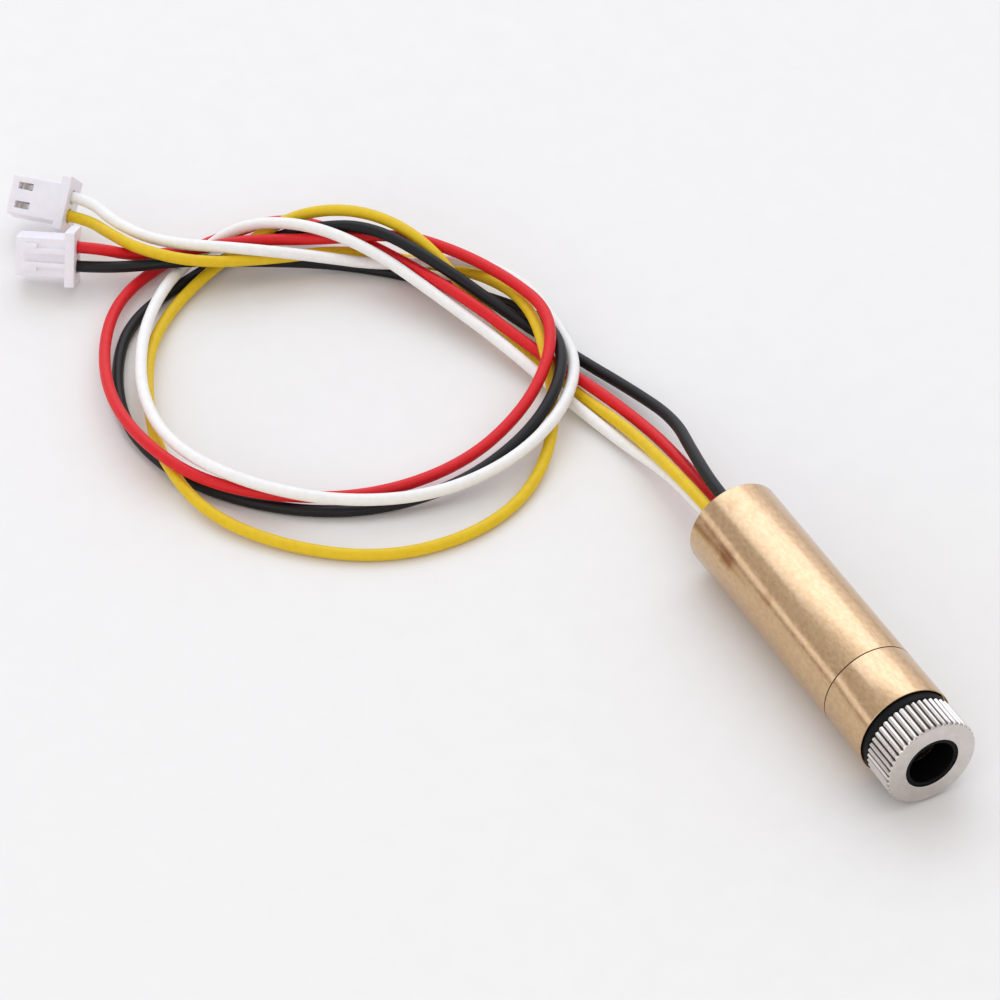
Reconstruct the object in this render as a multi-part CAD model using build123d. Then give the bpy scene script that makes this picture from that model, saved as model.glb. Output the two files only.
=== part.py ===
from build123d import *
import math
import os

# Laser diode module: a brass barrel with a knurled focus ring, and four leads in two plugs.
# The beam runs along +X. The barrel lies on the floor, z = 0, with its middle over the origin.
# Stations along the barrel are measured forward from its rear face. Lengths are millimetres.

# Barrel
barrel_diameter = 12.0
rear_tube_length = 31.7
rear_tube_wall = 0.8
head_length = 7.95
spigot_length = 4.0
edge_break = 0.2
seam_break = 0.06
press_clearance = 0.02
head_wall = 1.5
thread_clearance = 0.05
web_thickness = 1.5
rim_lip = 0.15
rim_break = 0.05
rim_recess_depth = 0.4

# Focus ring
ring_gap = 1.3
ring_head_drop = 0.15
ring_head_length = 4.55
shank_length = 6.65
flute_count = 45
flute_depth = 0.28
crest_share = 0.18
ring_chamfer_length = 0.25
ring_face_width = 2.4
shank_wall = 0.9
lens_seat_width = 0.8
lens_seat_thickness = 0.5
shank_bore_depth = 5.5

# Lens, its retainer, the rubber ring and the spring
lens_clearance = 0.05
lens_edge_thickness = 1.9
lens_sag = 0.9
retainer_wall = 0.53
retainer_recess = 0.12
seal_width = 1.2
seal_clearance = 0.05
seal_rounding = 0.45
spring_play = 0.3
spring_wire_diameter = 0.5
spring_turns = 3

# Laser diode
header_diameter = 5.6
header_thickness = 1.2
diode_recess_depth = 2.1
cap_diameter = 3.55
cap_height = 2.3
cap_wall = 0.15
cap_flange_diameter = 4.1
cap_hole_clearance = 0.1
window_opening_diameter = 1.6
window_diameter = 2.6
window_thickness = 0.25
chip_mount_width = 1.4
chip_mount_height = 0.9
chip_mount_length = 1.25
chip_width = 0.3
chip_thickness = 0.1
chip_length = 0.3
pin_diameter = 0.45
pin_circle_diameter = 2.0
pin_reach = 5.6
seal_bead_diameter = 1.0
pin_angles = (30.0, 150.0, 270.0)

# Driver board
board_side_gap = 0.9
conductor_reach = 4.0
pin_overlap = 2.5
driver_length = 4.9
driver_width = 3.9
driver_height = 1.45
driver_standoff = 0.1
lead_pitch = 1.27
lead_width = 0.4
lead_thickness = 0.2
lead_reach = 1.05
lead_foot = 0.55
driver_place_share = 0.42
lead_place_shares = (-1.5, -0.5, 0.5, 1.5)
capacitor_length = 2.0
capacitor_width = 1.25
capacitor_height = 1.2
capacitor_place_share = 0.81
capacitor_spread = 5.0
resistor_length = 1.6
resistor_width = 0.8
resistor_height = 0.45
resistor_pair_share = 0.1
resistor_pair_gap = 0.25
edge_resistor_share = 0.69
edge_resistor_gap = 0.3
terminal_share = 0.2
terminal_proud = 0.03
solder_dome_diameter = 1.6
solder_clearance = 0.02

# Wires and the resin that holds them
wire_diameter = 1.5
conductor_diameter = 0.6
wire_inside = 5.0
wire_lead_out = 4.25
exit_shares = {"white": (-0.6, -1.1), "black": (0.25, 1.1), "yellow": (-0.9, 0.1), "red": (0.7, -0.8)}
pad_spread = 3.6
pad_reach = 2.0
conductor_bend_share = 0.3
potting_start = 0.8
potting_length = 3.0
potting_hole_clearance = 0.02
arc_share = 0.45

# Plug housings: x runs out of the wire face, y across the two ways, z out of the window face
plug_pitch = 2.5
plug_length = 7.7
plug_body_width = 5.1
plug_back_height = 2.3
plug_rib_floor = 1.8
plug_rib_height = 0.6
plug_rib_width = 0.65
plug_rib_pitch = 1.8
plug_rib_setback = 1.2
plug_rib_head_length = 1.6
plug_rib_head_width = 1.2
plug_flange_width = 7.2
plug_flange_proud = 0.3
plug_flange_length = 1.2
plug_edge_radius = 0.2
cavity_width = 1.7
cavity_stop = 2.2
wire_entry_clearance = 0.2
plug_window_length = 2.0
plug_window_width = 0.95
plug_window_setback = 0.9
contact_width = 1.5
contact_wall = 0.25
contact_setback = 0.8
contact_box_length = 3.8
lance_clearance = 0.15
lance_drop = 0.3
crimp_diameter = 1.4
crimp_setback = 1.0
plug_straight = 2.5

# Where the two plugs lie: middle of the wire face over the floor, heading and roll
signal_plug_x = -117.05
signal_plug_y = -45.3
signal_plug_yaw = 46.0
signal_plug_roll = 42.0
power_plug_x = -107.35
power_plug_y = -48.6
power_plug_yaw = 57.0
power_plug_roll = 242.0

# One overrun serves all cuts that pass right through
overrun = 1.0

# Routes of the four wires between the barrel and the plugs, chosen by hand
routes = {
    "white": [
        (-36.5, -1, 2.4), (-46, -2.5, 1.2), (-56.5, -4.5, 1.6), (-67.5, -7.5, 2.4),
        (-78.5, -11, 3.6), (-89.5, -15, 5.6), (-98, -20.5, 6.3), (-104.5, -27, 4.5),
        (-103.5, -34.5, 1.2), (-98, -41.5, 2.8), (-90, -47.5, 3.4), (-79, -52.5, 4.2),
        (-68, -53.5, 4.8), (-58, -48.5, 4.6), (-50.5, -39.5, 3.6), (-46.5, -28.5, 3.1),
        (-47, -17.5, 3.5), (-51.5, -8, 4.1), (-59, -1.5, 4), (-68, 1, 3.4),
        (-76.5, 0.5, 3.4), (-83.5, -4.5, 3.8), (-89.5, -12.5, 2.6), (-94, -22, 4.4),
        (-98.5, -30, 6), (-105, -38, 5.3), (-111.5, -41.5, 5.1),
    ],
    "black": [
        (-36.5, 2.5, 5.6), (-45, 4.5, 3.4), (-53.5, 3.5, 1.8), (-63, 0.5, 1.5),
        (-72.5, -4, 3), (-82.5, -9, 5.8), (-92, -14, 6.8), (-99, -19.5, 4.1),
        (-103, -27, 0.8), (-100.5, -36.5, 0.8), (-96, -46, 0.8), (-87.5, -52.5, 0.8),
        (-76.5, -55.5, 0.8), (-65, -53, 0.8), (-55.5, -45.5, 0.8), (-49.5, -35, 0.8),
        (-48, -23.5, 1.8), (-50.5, -13, 3.7), (-56, -5.5, 5.2), (-63.5, -1.5, 4.6),
        (-72, -1, 2.7), (-80.5, -4.5, 0.8), (-88.5, -11, 0.8), (-95, -18.5, 0.8),
        (-98, -27, 2.5), (-100.5, -36.5, 4), (-103.5, -42.5, 3.1),
    ],
    "yellow": [
        (-37, -1, 4.4), (-47, -1, 2.4), (-57, -2.5, 0.9), (-67.5, -4.5, 0.8),
        (-78, -6.5, 2.4), (-87.5, -9.5, 5.2), (-96, -13.5, 6.1), (-101.5, -20, 4.9),
        (-101.5, -28, 2.6), (-97.5, -37, 0.8), (-90, -46, 1.6), (-79.5, -51.5, 2.4),
        (-69, -54.5, 2.5), (-58, -53.5, 1.4), (-48.5, -47, 0.9), (-41.5, -37.5, 0.8),
        (-40, -26.5, 0.8), (-43.5, -16.5, 0.8), (-51, -9, 2), (-61, -4.5, 4),
        (-71.5, -2, 4.7), (-81, -3.5, 2.3), (-89.5, -8, 0.9), (-95, -16.5, 2.3),
        (-96.5, -26, 3.6), (-98.5, -35.5, 5.3), (-104.5, -41, 5.2), (-110.5, -43, 4.3),
    ],
    "red": [
        (-36.5, 1.5, 3.4), (-45, 1.5, 2.4), (-54.5, -0.5, 2.1), (-65, -4, 2.5),
        (-76.5, -8.5, 3.6), (-87.5, -12, 4.9), (-97.5, -15.5, 3.6), (-104, -21.5, 2.2),
        (-106, -29.5, 0.9), (-105, -38, 0.8), (-100, -46.5, 1.6), (-91, -52.5, 2.5),
        (-80.5, -56, 3.6), (-70.5, -56, 4.3), (-62, -52.5, 3.4), (-55.5, -44.5, 2.3),
        (-51.5, -33.5, 1.3), (-51, -21.5, 2), (-54.5, -11.5, 4), (-60.5, -4.5, 5.9),
        (-68, -1.5, 6.4), (-76.5, -1.5, 5.9), (-85, -5, 5.1), (-91.5, -10.5, 3.9),
        (-96, -19.5, 4.2), (-100.5, -28, 4.3), (-103.5, -36.5, 3.1), (-105.5, -41.5, 3.2),
    ],
}

# Stations and radii that follow from the sizes above
axis_height = barrel_diameter / 2
tube_bore_radius = barrel_diameter / 2 - rear_tube_wall
spigot_start = rear_tube_length - spigot_length
diode_seat = spigot_start + diode_recess_depth
chamber_floor = diode_seat + web_thickness
rim = rear_tube_length + head_length
ring_back = rim + ring_gap
module_length = ring_back + ring_head_length
shank_end = ring_back - shank_length
lens_seat = shank_end + shank_bore_depth
lens_back = lens_seat + lens_seat_thickness
lens_land = lens_back + lens_edge_thickness
chamber_radius = barrel_diameter / 2 - head_wall
shank_radius = chamber_radius - thread_clearance
shank_bore_radius = shank_radius - shank_wall
crest_radius = barrel_diameter / 2 - ring_head_drop
aperture_radius = crest_radius - ring_face_width
lens_radius = aperture_radius - lens_clearance
lens_seat_bore_radius = lens_radius - lens_seat_width
rim_recess_radius = barrel_diameter / 2 - rim_lip
retainer_radius = aperture_radius - press_clearance
retainer_bore_radius = retainer_radius - retainer_wall
header_back = diode_seat - header_thickness
pin_end = header_back - pin_reach
board_end = pin_end + pin_overlap
board_start = wire_inside + conductor_reach
board_length = board_end - board_start
board_width = 2 * (tube_bore_radius - board_side_gap)
pin_rise = pin_circle_diameter / 2 * math.sin(math.radians(pin_angles[0]))
board_top = pin_rise - pin_diameter / 2
board_bottom = pin_diameter / 2 - pin_circle_diameter / 2
board_thickness = board_top - board_bottom
board_middle = (board_top + board_bottom) / 2
rear_face_x = -module_length / 2
plug_flange_floor = plug_rib_floor + plug_rib_height + plug_flange_proud
window_front = plug_window_setback - plug_length


def in_barrel(shape):
    """Moves a shape drawn round the beam line, from the rear face, to its place."""
    return Pos(rear_face_x, 0, axis_height) * shape


def turned(outline):
    """Solid turned about the beam line from a closed outline of (station, radius)."""
    return revolve(make_face(Polyline(*outline, close=True)), Axis.X)


def rod(start, end, radius):
    """Round rod along the beam line between two stations."""
    return turned([(start, 0), (end, 0), (end, radius), (start, radius)])


def ring(start, end, inner_radius, outer_radius):
    """Plain ring round the beam line between two stations."""
    return turned([(start, inner_radius), (end, inner_radius), (end, outer_radius), (start, outer_radius)])


def block(start, end, width, height, middle=(0, 0)):
    """Box between two stations, its middle at (y, z) from the beam line."""
    return Pos((start + end) / 2, middle[0], middle[1]) * Box(end - start, width, height)


def rear_tube():
    outer = barrel_diameter / 2
    return turned([
        (0, tube_bore_radius), (rear_tube_length, tube_bore_radius), (rear_tube_length, outer - seam_break),
        (rear_tube_length - seam_break, outer), (edge_break, outer), (0, outer - edge_break),
    ])


def front_head():
    outer = barrel_diameter / 2
    spigot_radius = tube_bore_radius - press_clearance
    recess_radius = header_diameter / 2 + press_clearance
    cap_hole_radius = cap_flange_diameter / 2 + cap_hole_clearance
    return turned([
        (spigot_start, recess_radius), (diode_seat, recess_radius), (diode_seat, cap_hole_radius),
        (chamber_floor, cap_hole_radius), (chamber_floor, chamber_radius),
        (rim - rim_recess_depth, chamber_radius), (rim - rim_recess_depth, rim_recess_radius),
        (rim, rim_recess_radius), (rim, outer - rim_break), (rim - rim_break, outer),
        (rear_tube_length + seam_break, outer), (rear_tube_length, outer - seam_break),
        (rear_tube_length, spigot_radius), (spigot_start + edge_break, spigot_radius),
        (spigot_start, spigot_radius - edge_break),
    ])


def fluted_outline():
    """Outline of the ring head across the beam: flat crests with V flutes between them."""
    root_radius = crest_radius - flute_depth
    corner_shares = (
        (0.5 - crest_share / 2, crest_radius), (0.5 + crest_share / 2, crest_radius), (1, root_radius))
    points = []
    for flute in range(flute_count):
        for turn_share, radius in corner_shares:
            angle = 2 * math.pi * (flute + turn_share) / flute_count
            points.append((radius * math.cos(angle), radius * math.sin(angle)))
    return Polyline(*points, close=True)


def focus_ring():
    """Shank, fluted head with its front edge turned down to the flute floors, and stepped bore."""
    root_radius = crest_radius - flute_depth
    head = Plane.YZ.offset(ring_back) * extrude(make_face(fluted_outline()), ring_head_length)
    envelope = turned([
        (ring_back, 0), (module_length, 0), (module_length, root_radius),
        (module_length - ring_chamfer_length, crest_radius), (ring_back, crest_radius),
    ])
    bore = turned([
        (shank_end - overrun, 0), (shank_end - overrun, shank_bore_radius),
        (lens_seat, shank_bore_radius), (lens_seat, lens_seat_bore_radius),
        (lens_back, lens_seat_bore_radius), (lens_back, aperture_radius),
        (module_length + overrun, aperture_radius), (module_length + overrun, 0),
    ])
    return (head & envelope) + rod(shank_end, ring_back, shank_radius) - bore


def collimating_lens():
    """Flat back on the seat, a flat land for the retainer, and a domed front."""
    sphere_radius = (retainer_bore_radius ** 2 + lens_sag ** 2) / (2 * lens_sag)
    sphere_middle = lens_land + lens_sag - sphere_radius
    half_way = math.asin(retainer_bore_radius / sphere_radius) / 2
    dome = ThreePointArc(
        (lens_land, retainer_bore_radius),
        (sphere_middle + sphere_radius * math.cos(half_way), sphere_radius * math.sin(half_way)),
        (lens_land + lens_sag, 0))
    sides = Polyline(
        (lens_land + lens_sag, 0), (lens_back, 0), (lens_back, lens_radius), (lens_land, lens_radius),
        (lens_land, retainer_bore_radius))
    return revolve(make_face(sides + dome), Axis.X)


def lens_retainer():
    return ring(lens_land, module_length - retainer_recess, retainer_bore_radius, retainer_radius)


def o_ring():
    start = rim - rim_recess_depth + seal_clearance
    end = ring_back - seal_clearance
    section = Pos((start + end) / 2, chamber_radius + seal_width / 2) * RectangleRounded(
        end - start, seal_width, seal_rounding)
    return revolve(section, Axis.X)


def focus_spring():
    """Coil spring between the chamber floor and the shank."""
    coil_radius = chamber_radius - spring_play - spring_wire_diameter / 2
    start_station = chamber_floor + spring_wire_diameter / 2 + seal_clearance
    height = shank_end - chamber_floor - spring_wire_diameter - 2 * seal_clearance
    helix = Helix(pitch=height / spring_turns, height=height, radius=coil_radius)
    start = Plane(origin=helix @ 0, z_dir=helix % 0)
    coil = sweep(start * Circle(spring_wire_diameter / 2), path=helix)
    return Pos(start_station, 0, 0) * Rot(0, 90, 0) * coil


def around_pins(make):
    """One shape for each diode pin, made on the beam line and moved to the pin."""
    reach = pin_circle_diameter / 2
    return [
        Pos(0, reach * math.cos(math.radians(angle)), reach * math.sin(math.radians(angle))) * make
        for angle in pin_angles
    ]


def diode_header():
    hole = rod(header_back - overrun, diode_seat + overrun, seal_bead_diameter / 2 + press_clearance)
    return rod(header_back, diode_seat, header_diameter / 2) - around_pins(hole)


def pin_seals():
    hole_radius = pin_diameter / 2 + press_clearance
    return around_pins(ring(header_back, diode_seat, hole_radius, seal_bead_diameter / 2))


def diode_pins():
    return around_pins(rod(pin_end, diode_seat, pin_diameter / 2))


def diode_cap():
    """Thin can with a welded flange and a window opening."""
    outer = cap_diameter / 2
    top = diode_seat + cap_height
    return turned([
        (diode_seat, outer - cap_wall), (top - cap_wall, outer - cap_wall),
        (top - cap_wall, window_opening_diameter / 2), (top, window_opening_diameter / 2), (top, outer),
        (diode_seat + cap_wall, outer), (diode_seat + cap_wall, cap_flange_diameter / 2),
        (diode_seat, cap_flange_diameter / 2),
    ])


def diode_window():
    back = diode_seat + cap_height - cap_wall
    return rod(back - window_thickness, back, window_diameter / 2)


def chip_mount():
    drop = chip_thickness / 2 + chip_mount_height / 2
    return block(diode_seat, diode_seat + chip_mount_length, chip_mount_width, chip_mount_height, (0, -drop))


def laser_chip():
    front = diode_seat + chip_mount_length
    return block(front - chip_length, front, chip_width, chip_thickness)


def driver_board():
    return block(board_start, board_end, board_width, board_thickness, (0, board_middle))


def on_board(shape, along_share, across=0):
    """Moves a shape drawn on the board's plane to its share of the board's length."""
    return Pos(board_start + board_length * along_share, across, board_top) * shape


def chip_part(length, width, height):
    """Chip capacitor or resistor: a body between two plated ends that stand a little proud."""
    end = length * terminal_share
    body = Pos(0, 0, (height + terminal_proud) / 2) * Box(length - end, width, height - terminal_proud)
    ends = [
        Pos(side * (length - end) / 2, 0, (height + terminal_proud) / 2)
        * Box(end, width + 2 * terminal_proud, height + terminal_proud) for side in (-1, 1)
    ]
    return body + ends


def gull_lead():
    """Bent lead of the driver chip, drawn in the plane across the body and given its width."""
    shoulder = driver_width / 2
    mid = driver_standoff + driver_height / 2
    heel = shoulder + lead_reach - lead_foot
    outline = Polyline(
        (shoulder, mid), (heel + lead_thickness, mid), (heel + lead_thickness, lead_thickness),
        (shoulder + lead_reach, lead_thickness), (shoulder + lead_reach, 0), (heel, 0),
        (heel, mid - lead_thickness), (shoulder, mid - lead_thickness), close=True)
    return Plane.YZ.offset(-lead_width / 2) * extrude(make_face(outline), lead_width)


def driver_chip():
    body = Pos(0, 0, driver_standoff + driver_height / 2) * Box(driver_length, driver_width, driver_height)
    body = chamfer(body.faces().sort_by(Axis.Z)[-1].edges(), edge_break)
    leads = []
    for place_share in lead_place_shares:
        lead = Pos(place_share * lead_pitch, 0, 0) * gull_lead()
        leads += [lead, Rot(0, 0, 180) * lead]
    return on_board(body + leads, driver_place_share)


def capacitors():
    part = chip_part(capacitor_length, capacitor_width, capacitor_height)
    return [on_board(part, capacitor_place_share, side * capacitor_spread / 2) for side in (-1, 1)]


def resistors():
    """A pair side by side near the wires, and one at the board's edge."""
    part = chip_part(resistor_length, resistor_width, resistor_height)
    row = (resistor_width + resistor_pair_gap) / 2
    edge = board_width / 2 - edge_resistor_gap - resistor_width / 2
    return [on_board(part, resistor_pair_share, -row), on_board(part, resistor_pair_share, row),
            on_board(part, edge_resistor_share, -edge)]


def exit_point(name):
    """Where a wire crosses the rear face, as (y, z) from the beam line."""
    return tuple(wire_diameter * share for share in exit_shares[name])


def pad_point(name):
    """Where a wire's bare end lies on the board, as (y, z) from the beam line."""
    side = 1 if name in ("black", "red") else -1
    above = exit_shares[name][1] > 0
    rise = board_top + conductor_diameter / 2 if above else board_bottom - conductor_diameter / 2
    return side * pad_spread / 2, rise


def conductor_end(name):
    """Bare wire from the end of its insulation to its pad, bent twice."""
    y, z = exit_point(name)
    pad_y, pad_z = pad_point(name)
    gap = board_start - wire_inside
    points = [
        (wire_inside, y, z), (wire_inside + gap * conductor_bend_share, y, z),
        (board_start - gap * conductor_bend_share, pad_y, pad_z), (board_start + pad_reach, pad_y, pad_z),
    ]
    path = FilletPolyline(*points, radius=tangent_radii(points))
    return sweep(Plane(origin=path @ 0, z_dir=path % 0) * Circle(conductor_diameter / 2), path=path)


def solder_dome(station, y, top_side, lead_radius):
    """Drop of solder on the board over a round lead, with the lead's way cut out."""
    surface = board_top if top_side else board_bottom
    up = 1 if top_side else -1
    radius = solder_dome_diameter / 2
    half = Pos(station, y, surface + up * radius / 2) * Box(2 * radius, 2 * radius, radius)
    lead = Pos(0, y, surface + up * lead_radius) * rod(
        station - 2 * radius, station + 2 * radius, lead_radius + solder_clearance)
    return (Pos(station, y, surface) * Sphere(radius) & half) - lead


def solder_joints():
    domes = []
    for angle in pin_angles:
        y = pin_circle_diameter / 2 * math.cos(math.radians(angle))
        above = math.sin(math.radians(angle)) > 0
        domes.append(solder_dome(board_end - pin_overlap / 2, y, above, pin_diameter / 2))
    for name in routes:
        y, z = pad_point(name)
        domes.append(solder_dome(board_start + pad_reach / 2, y, z > board_middle, conductor_diameter / 2))
    return domes


def rear_potting():
    """Resin plug inside the tube, with a snug hole for each wire."""
    plug = rod(potting_start, potting_start + potting_length, tube_bore_radius - press_clearance)
    for name in routes:
        y, z = exit_point(name)
        plug -= Pos(0, y, z) * rod(0, potting_start + potting_length + overrun,
                                   wire_diameter / 2 + potting_hole_clearance)
    return plug


def plug_plane(x, y, yaw, roll):
    """Plane of a plug's wire face; the plug rests on its lowest flange corner."""
    turn, lean = math.radians(yaw), math.radians(roll)
    below = plug_flange_floor if math.cos(lean) > 0 else plug_back_height
    height = plug_flange_width / 2 * abs(math.sin(lean)) + below * abs(math.cos(lean))
    heading = Vector(math.cos(turn), math.sin(turn), 0)
    across = Vector(-math.sin(turn), math.cos(turn), 0) * math.cos(lean) + Vector(0, 0, 1) * math.sin(lean)
    return Plane(origin=(x, y, height), x_dir=heading, z_dir=heading.cross(across))


signal_plane = plug_plane(signal_plug_x, signal_plug_y, signal_plug_yaw, signal_plug_roll)
power_plane = plug_plane(power_plug_x, power_plug_y, power_plug_yaw, power_plug_roll)
plug_of = {
    "white": (signal_plane, 1), "yellow": (signal_plane, -1),
    "red": (power_plane, -1), "black": (power_plane, 1),
}


def slab(start, end, low_y, high_y, low_z, high_z):
    """Box between two stations, two sides and two levels of a plug."""
    return block(start, end, high_y - low_y, high_z - low_z, ((low_y + high_y) / 2, (low_z + high_z) / 2))


def plug_housing():
    """Two-way nylon housing: two windows in one face, and two hooked ribs and a flange on the other."""
    half_width, flange_half = plug_body_width / 2, plug_flange_width / 2
    shell = slab(-plug_length, 0, -half_width, half_width, -plug_rib_floor, plug_back_height)
    shell = fillet(shell.edges().filter_by(Axis.X), plug_edge_radius)
    flange = slab(-plug_flange_length, 0, -flange_half, flange_half, -plug_flange_floor, plug_back_height)
    shell += fillet(flange.edges().filter_by(Axis.X), plug_edge_radius)
    rib_front = plug_rib_setback - plug_length
    rib_face = -plug_rib_floor - plug_rib_height
    for side in (-1, 1):
        inner = (plug_rib_pitch - plug_rib_width) / 2
        bar = sorted((side * inner, side * (inner + plug_rib_width)))
        head = sorted((side * inner, side * (inner + plug_rib_head_width)))
        shell += slab(rib_front, 0, *bar, rib_face, 0)
        shell += slab(rib_front, rib_front + plug_rib_head_length, *head, rib_face, 0)
    for side in (-1, 1):
        y = side * plug_pitch / 2
        shell -= block(-plug_length - overrun, -cavity_stop, cavity_width, cavity_width, (y, 0))
        shell -= Pos(0, y, 0) * rod(-cavity_stop - overrun, overrun, wire_diameter / 2 + wire_entry_clearance)
        shell -= slab(window_front, window_front + plug_window_length, y - plug_window_width / 2,
                      y + plug_window_width / 2, 0, plug_back_height + overrun)
    return shell


def plug_contact():
    """Square socket box with a sprung lance in the window, and a crimp that meets the wire's end."""
    front = contact_setback - plug_length
    back = front + contact_box_length
    socket = block(front, back, contact_width, contact_width)
    inner = contact_width - 2 * contact_wall
    socket -= block(front - overrun, back - contact_wall, inner, inner)
    root = window_front + lance_clearance
    tip = window_front + plug_window_length - lance_clearance
    crest = plug_back_height - lance_drop
    lance = Plane.XZ * make_face(Polyline(
        (root, inner / 2), (tip, crest - contact_wall), (tip, crest), (root, contact_width / 2), close=True))
    socket += extrude(lance, plug_window_width / 2 - lance_clearance, both=True)
    return socket + rod(back - contact_wall, -crimp_setback, crimp_diameter / 2)


def plug_contacts(plane):
    return [plane * (Pos(0, side * plug_pitch / 2, 0) * plug_contact()) for side in (-1, 1)]


def wire_points(name):
    """Whole route of a wire: out of the resin, along its own points, and into its plug."""
    y, z = exit_point(name)
    plane, side = plug_of[name]
    start = (rear_face_x + wire_inside, y, axis_height + z)
    leave = (rear_face_x - wire_lead_out, y, axis_height + z)
    into = [tuple(plane.from_local_coords(Vector(x, side * plug_pitch / 2, 0)))
            for x in (plug_straight, -crimp_setback)]
    return [start, leave] + routes[name] + into


def tangent_radii(points):
    """Arc radius at each inner point, as large as its two runs allow."""
    radii = []
    for before, here, after in zip(points, points[1:], points[2:]):
        run_in = Vector(*here) - Vector(*before)
        run_out = Vector(*after) - Vector(*here)
        turn = math.radians(run_in.get_angle(run_out))
        radii.append(arc_share * min(run_in.length, run_out.length) / math.tan(turn / 2))
    return radii


def wire(name):
    """Round tube along straight runs joined by tangent arcs."""
    points = wire_points(name)
    radii = tangent_radii(points)
    path = FilletPolyline(*points, radius=radii)
    tube = sweep(Plane(origin=path @ 0, z_dir=path % 0) * Circle(wire_diameter / 2), path=path)
    section = math.pi * wire_diameter ** 2 / 4
    print(f"{name} wire: {path.length:.1f} mm long, radii {min(radii):.1f} to {max(radii):.1f} mm,",
          f"volume {tube.volume / (section * path.length):.4f} of section times length")
    return tube


def write(name, shape):
    """One STEP file for one named piece, or for a group of like pieces."""
    if isinstance(shape, list):
        export_step(Compound(children=[piece.solid() for piece in shape]), f"parts/{name}.step")
    else:
        export_step(shape.solid(), f"parts/{name}.step")


os.makedirs("parts", exist_ok=True)
in_the_barrel = {
    "rear_tube": rear_tube(), "front_head": front_head(), "focus_ring": focus_ring(),
    "collimating_lens": collimating_lens(), "lens_retainer": lens_retainer(), "o_ring": o_ring(),
    "focus_spring": focus_spring(), "diode_header": diode_header(), "diode_cap": diode_cap(),
    "diode_window": diode_window(), "chip_mount": chip_mount(), "laser_chip": laser_chip(),
    "diode_pins": diode_pins(), "pin_seals": pin_seals(), "driver_board": driver_board(),
    "driver_chip": driver_chip(),
    "capacitors": capacitors(), "resistors": resistors(),
    "solder_joints": solder_joints(), "conductor_ends": [conductor_end(name) for name in routes],
    "rear_potting": rear_potting(),
}
for name, shape in in_the_barrel.items():
    write(name, [in_barrel(s) for s in shape] if isinstance(shape, list) else in_barrel(shape))
write("signal_housing", signal_plane * plug_housing())
write("power_housing", power_plane * plug_housing())
write("signal_contacts", plug_contacts(signal_plane))
write("power_contacts", plug_contacts(power_plane))
for name in routes:
    write(f"{name}_wire", wire(name))
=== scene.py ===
# %% [markdown]
# # A brass laser diode module with a focus ring and two wired plugs
# The construction of this little module is fixed already: every piece has its real size and place.
# What is left is its look. This lesson loads the construction as a frame, lays the four wires as smooth
# curves, turns the brass and nickel pieces with a fine rounded edge, and gives each piece a finish.

# %% Load the frame
import math

import bpy
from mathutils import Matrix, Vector


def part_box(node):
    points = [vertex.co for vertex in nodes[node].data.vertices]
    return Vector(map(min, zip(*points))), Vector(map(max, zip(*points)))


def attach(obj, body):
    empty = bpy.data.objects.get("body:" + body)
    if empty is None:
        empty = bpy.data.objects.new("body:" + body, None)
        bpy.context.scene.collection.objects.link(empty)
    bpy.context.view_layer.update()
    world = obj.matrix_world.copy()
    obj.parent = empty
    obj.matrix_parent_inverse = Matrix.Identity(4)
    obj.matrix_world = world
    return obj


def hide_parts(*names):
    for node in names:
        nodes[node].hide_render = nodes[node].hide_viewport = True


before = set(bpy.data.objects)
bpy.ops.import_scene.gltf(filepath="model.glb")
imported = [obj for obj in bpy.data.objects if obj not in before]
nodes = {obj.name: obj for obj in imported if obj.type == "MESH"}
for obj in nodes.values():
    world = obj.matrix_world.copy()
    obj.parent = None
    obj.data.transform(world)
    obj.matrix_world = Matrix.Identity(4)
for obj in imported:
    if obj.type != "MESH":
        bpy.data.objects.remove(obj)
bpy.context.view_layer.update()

# %% [markdown]
# ## Units
# Blender works in metres here, and a module this small is easier to think of in millimetres.
# So every size below is written in millimetres and multiplied by one value, `mm`.

# %% One millimetre, and a size read from the frame
mm = 0.001


def middle_of(node):
    """Middle of a piece's box at rest."""
    low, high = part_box(node)
    return (low + high) / 2


beam_y, beam_z = middle_of("rear_tube").yz
print(f"the beam line runs along +X at a height of {beam_z / mm:.2f} mm")

# %% [markdown]
# ## The camera
# The photograph looks down on the module from the front right, from far enough away that the barrel
# hardly tapers. A long lens at a long distance gives that flat perspective. The camera is set first,
# because where the wires may lie depends on what it sees.

# %% Camera at the photograph's angle
view_target = Vector((-45.12, -19.80, 0)) * mm
view_distance = 558.4 * mm
view_azimuth = math.radians(62.48)
view_elevation = math.radians(42.18)
sensor_width = 36.0
focal_length = 164.3

back = Vector((
    math.sin(view_azimuth) * math.cos(view_elevation),
    -math.cos(view_azimuth) * math.cos(view_elevation),
    math.sin(view_elevation)))
bpy.ops.object.select_all(action="DESELECT")
bpy.ops.object.camera_add(location=view_target + back * view_distance)
camera = bpy.context.object
camera.name = "photo_camera"
camera.rotation_mode = "QUATERNION"
camera.rotation_quaternion = back.to_track_quat("Z", "Y")
camera.data.sensor_width = sensor_width
camera.data.lens = focal_length
camera.data.clip_start = view_distance / 50
camera.data.clip_end = view_distance * 50
bpy.context.scene.camera = camera
print("camera at", [round(x / mm) for x in camera.location], "mm")

# %% [markdown]
# ## The four wires
# Each lead is stranded copper in a 1.5 mm PVC jacket, springy enough to spring into one loose loop and
# to lie in soft curves. A tube swept along straight runs would look like bent wire, so each route is
# the control polygon of a smooth NURBS curve: the curve pulls towards its points without reaching them.
# The points are the construction's, in millimetres, and some have been moved by up to 2.2 mm, until the
# wires clear each other and cross where the photograph shows it. The order of the curve and its clamped
# ends are set after the points, because a curve with no points can't take them.

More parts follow.
